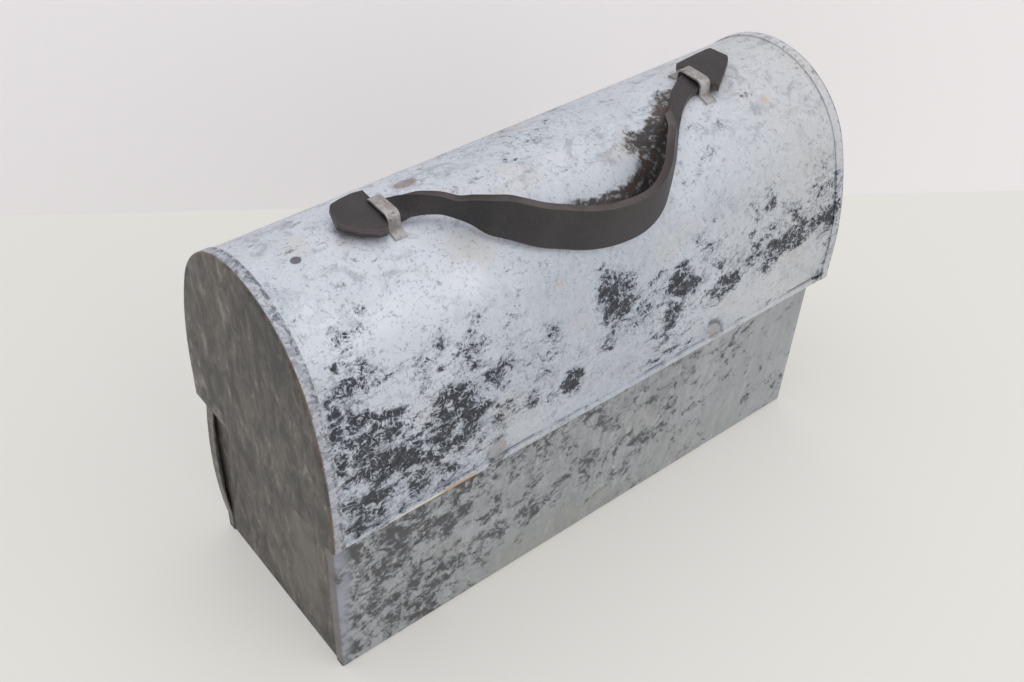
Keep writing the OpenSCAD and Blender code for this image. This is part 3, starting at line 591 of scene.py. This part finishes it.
STRAP_RIGHT = [
    (94.0, -3.7, 182.2, 0, 8.3, -1.5), (92.6, -5.6, 182.0, 0, 10.7, -1.9),
    (87.6, -9.0, 181.2, 1, 14.4, -2.5), (83.1, -11.9, 180.2, 2, 17.6, -3.4),
    (78.6, -14.9, 179.5, 3, 20.4, -3.9), (77.8, -13.6, 179.3, 4, 18.0, -3.4),
    (76.6, -11.2, 179.2, 8, 11.0, -1.6), (74.0, -10.8, 178.9, 8, 10.5, 0),
    (70.5, -11.0, 178.6, 8, 9.5, 0), (66.3, -11.6, 178.2, 8, 8.4, 0), (59.5, -15.2, 177.3, 8, 8, 0),
    (53.5, -20.0, 175.6, 24, 6.6, 0), (49.5, -23.3, 174.0, 52, 7.2, 0),
    (45.0, -27.8, 171.4, 72, 10, 0), (40.8, -31.8, 168.5, 80, 14, 0),
    (33.8, -37.3, 163.1, 86, 18.6, 0), (27.3, -41.3, 157.6, 92, 20.5, 0),
    (19.8, -43.3, 154.2, 96, 19.5, 0), (10.9, -43.9, 153.0, 98, 19.5, 0),
    (-0.8, -43.4, 153.9, 98, 19.5, 0),
]
# Rows across the strap, closer together at its edges
STRAP_ROWS = (0.0, 0.03, 0.1, 0.3, 0.5, 0.7, 0.9, 0.97, 1.0)


def along_stations(points, share):
    """A place on the way to the last but one point: straight over the head, then smooth (Catmull-Rom)."""
    last = len(points) - 1
    at = min(max(share, 0.0) * (last - 1), last - 1e-9)
    i = int(at)
    t = at - i
    if i < HEAD_STATIONS - 1:
        return [u + (v - u) * t for u, v in zip(points[i], points[i + 1])]
    p = [points[max(0, min(last, k))] for k in (i - 1, i, i + 1, i + 2)]
    return [
        0.5 * (2 * b + (c - a) * t + (2 * a - 5 * b + 4 * c - d) * t * t + (3 * b - a - 3 * c + d) * t ** 3)
        for a, b, c, d in zip(*p)]


def strap_edges(points, share):
    """The lower and the upper edge of the strap's outer face."""
    x, y, z, lean, wide, shift = along_stations(points, share)
    lean = math.radians(lean)
    lower = Vector((x, y, z))
    return lower, lower + Vector((shift, math.cos(lean) * wide, math.sin(lean) * wide))


def strap_place(points, way, share, across, through):
    """Where a point of the flat strap lies: across is 0 at the lower edge and 1 at the upper one, and
    through is 0 at the outer face and 1 at the inner one."""
    lower, upper = strap_edges(points, share)
    ahead = sum(strap_edges(points, share + LOOK_AHEAD), Vector())
    behind = sum(strap_edges(points, max(0.0, share - LOOK_AHEAD)), Vector())
    inward = (upper - lower).cross(way * (ahead - behind)).normalized()
    return (lower.lerp(upper, across) + inward * (through * STRAP_THICK)) * MM


def make_strap(name, points, way):
    """One half of the strap: a flat blank, bent along its stations, with its edges rounded."""
    bm = bmesh.new()
    edge_layer = bm.verts.layers.float.new("cut_edge")
    bmesh.ops.create_grid(bm, x_segments=(len(points) - 2) * ROWS_PER_STATION,
                          y_segments=len(STRAP_ROWS) - 1, size=0.5)
    bmesh.ops.translate(bm, verts=bm.verts, vec=(0.5, 0.5, 0.0))
    for v in bm.verts:
        v.co.y = STRAP_ROWS[round(v.co.y * (len(STRAP_ROWS) - 1))]
    top = bmesh.ops.extrude_face_region(bm, geom=bm.faces[:])
    lifted = [v for v in top["geom"] if isinstance(v, bmesh.types.BMVert)]
    bmesh.ops.translate(bm, verts=lifted, vec=(0, 0, 1))
    blank = {v: v.co.copy() for v in bm.verts}
    for v, flat in blank.items():
        v.co = strap_place(points, way, flat.x, flat.y, flat.z)
        v[edge_layer] = float(flat.y < TINY or flat.y > 1 - TINY or flat.x < TINY)
    # The end that meets the other half stays sharp; the sides and the tip are rounded
    cap_layer = bm.faces.layers.int.new("cap")
    for f in bm.faces:
        f[cap_layer] = int(all(blank[v].x > 1 - TINY for v in f.verts))
    rim = []
    for e in bm.edges:
        a, b = (blank[v] for v in e.verts)
        on_side = abs(a.y - b.y) < TINY and (a.y < TINY or a.y > 1 - TINY)
        on_tip = a.x < TINY and b.x < TINY
        if abs(a.z - b.z) < TINY and (on_side or on_tip):
            rim.append(e)
    bmesh.ops.bevel(bm, geom=rim, offset=EDGE_ROUNDING, offset_type="OFFSET", segments=2, profile=0.5,
                    affect="EDGES", clamp_overlap=True, material=-1)
    bmesh.ops.recalc_face_normals(bm, faces=bm.faces)
    for f in bm.faces:
        f.smooth = True
        if f[cap_layer]:
            for e in f.edges:
                e.smooth = False
    bm.faces.layers.int.remove(cap_layer)
    mesh = bpy.data.meshes.new(name)
    bm.to_mesh(mesh)
    bm.free()
    obj = bpy.data.objects.new(name, mesh)
    bpy.context.scene.collection.objects.link(obj)
    return obj


# ---------------------------------------------------------------- dressing

FINISH = {
    "dome": dome_tin(), "lid_end": lid_end_tin(), "body": body_tin(), "body_end": body_end_tin(),
    "strip": strip_tin(), "wire": wire_steel(), "leather": strap_leather(),
}
NODE_FINISH = {
    "body_wrap": "body", "body_end_left": "body_end", "body_end_right": "body_end",
    "lid_dome": "dome", "lid_end_left": "lid_end", "lid_end_right": "lid_end",
    "hinge_body_leaf_left": "strip", "hinge_body_leaf_right": "strip",
    "hinge_lid_leaf_left": "strip", "hinge_lid_leaf_right": "strip",
    "hinge_pin_left": "wire", "hinge_pin_right": "wire", "keeper_left": "strip", "keeper_right": "strip",
    "hasp_plate": "strip", "hasp": "strip", "hasp_pin": "wire", "staple": "wire",
    "bail_eyes": "strip", "bail_clip": "strip", "bottle_bail": "wire",
}


def dress_nodes():
    """Gives every solid its finish."""
    for name, finish in NODE_FINISH.items():
        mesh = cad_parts[name].data
        mesh.materials.clear()
        mesh.materials.append(FINISH[finish])


def add_strap():
    """The strap's two halves, bent at the keepers and joined in the middle of the bow. The stations of each
    half end with the other's last but one, so that both have the same direction where they join."""
    left = make_strap("strap_left", STRAP_LEFT + STRAP_RIGHT[-2:-1], 1)
    right = make_strap("strap_right", STRAP_RIGHT + STRAP_LEFT[-2:-1], -1)
    for half, side in ((left, -1), (right, 1)):
        half.data.materials.append(FINISH["leather"])
        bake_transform(half)
    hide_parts("strap_head_left", "strap_grip")
    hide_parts("strap_head_right")


# ---------------------------------------------------------------- surroundings

STAGE_HALF = 4.0
LAMP_AIM = Vector((0, 0, 0.08))


def stage_material(name, colour, seen, one_sided=False):
    """Plain floor or wall that glows a little, as seen, for the eye alone. A one-sided wall is only
    there for an eye on the box's side of it, and lets the lamps' light through."""
    g = Graph(name)
    eye = [g.node("ShaderNodeLightPath", out=ray)
           for ray in ("Is Camera Ray", "Is Glossy Ray", "Is Transmission Ray")]
    seen_ray = (eye[0] + eye[1] + eye[2]).clip()
    surface = g.node("ShaderNodeBsdfDiffuse", None, {"Color": colour})
    glow = g.node("ShaderNodeEmission", None, {"Color": colour, "Strength": seen})
    dark = g.node("ShaderNodeEmission", None, {"Color": colour, "Strength": 0.0})
    glow = g.node("ShaderNodeMixShader", None, {0: seen_ray, 1: dark, 2: glow})
    surface = g.node("ShaderNodeAddShader", None, {0: surface, 1: glow})
    if one_sided:
        behind = g.node("ShaderNodeNewGeometry", out="Backfacing")
        clear = g.node("ShaderNodeBsdfTransparent")
        surface = g.node("ShaderNodeMixShader", None, {0: seen_ray * (1.0 - behind), 1: clear, 2: surface})
    g.node("ShaderNodeOutputMaterial", None, {"Surface": surface})
    return g.material


def add_plane(name, half_size, turn, move, material):
    """A square sheet of the surroundings, turned and then moved into place."""
    bm = bmesh.new()
    bmesh.ops.create_grid(bm, x_segments=1, y_segments=1, size=half_size)
    bmesh.ops.transform(bm, matrix=Matrix.Translation(move) @ turn, verts=bm.verts)
    mesh = bpy.data.meshes.new(name)
    bm.to_mesh(mesh)
    bm.free()
    mesh.materials.append(material)
    obj = bpy.data.objects.new(name, mesh)
    bpy.context.scene.collection.objects.link(obj)
    return obj


def build_stage():
    """Floor just under the box and a wall behind it."""
    floor = add_plane("floor", STAGE_HALF, Matrix.Identity(4), (0, 0, -0.0002),
                      stage_material("floor_pale", FLOOR_PALE, 0.46))
    # The wall stands on the line where the floor ends for the eye
    turn = Matrix.Rotation(math.radians(-33), 4, "Z") @ Matrix.Rotation(math.radians(90), 4, "X")
    wall = add_plane("backdrop", STAGE_HALF, turn, (0.120, 0.157, 0.0),
                     stage_material("wall_pale", BACKDROP_PALE, 0.44, one_sided=True))


def add_lamp(name, at, size, power):
    """A square white lamp that looks at the box."""
    data = bpy.data.lights.new(name, "AREA")
    data.shape = "SQUARE"
    data.size = size
    data.energy = power
    lamp = bpy.data.objects.new(name, data)
    aim = (LAMP_AIM - Vector(at)).to_track_quat("-Z", "Y")
    lamp.matrix_world = Matrix.Translation(at) @ aim.to_matrix().to_4x4()
    bpy.context.scene.collection.objects.link(lamp)


def light_up():
    """A soft room with a window in front and a ceiling lamp."""
    world = bpy.data.worlds.new("soft_room")
    world.use_nodes = True
    background = world.node_tree.nodes["Background"]
    background.inputs["Color"].default_value = (0.96, 0.98, 1.0, 1.0)
    background.inputs["Strength"].default_value = 0.55
    bpy.context.scene.world = world
    add_lamp("window", (0.4, -1.4, 1.1), 1.6, 8.5)
    add_lamp("ceiling", (-0.1, 0.5, 1.9), 1.8, 9.0)


# ---------------------------------------------------------------- put together

bpy.context.scene.view_settings.view_transform = "Standard"
place_camera()
dress_nodes()
add_strap()
build_stage()
light_up()
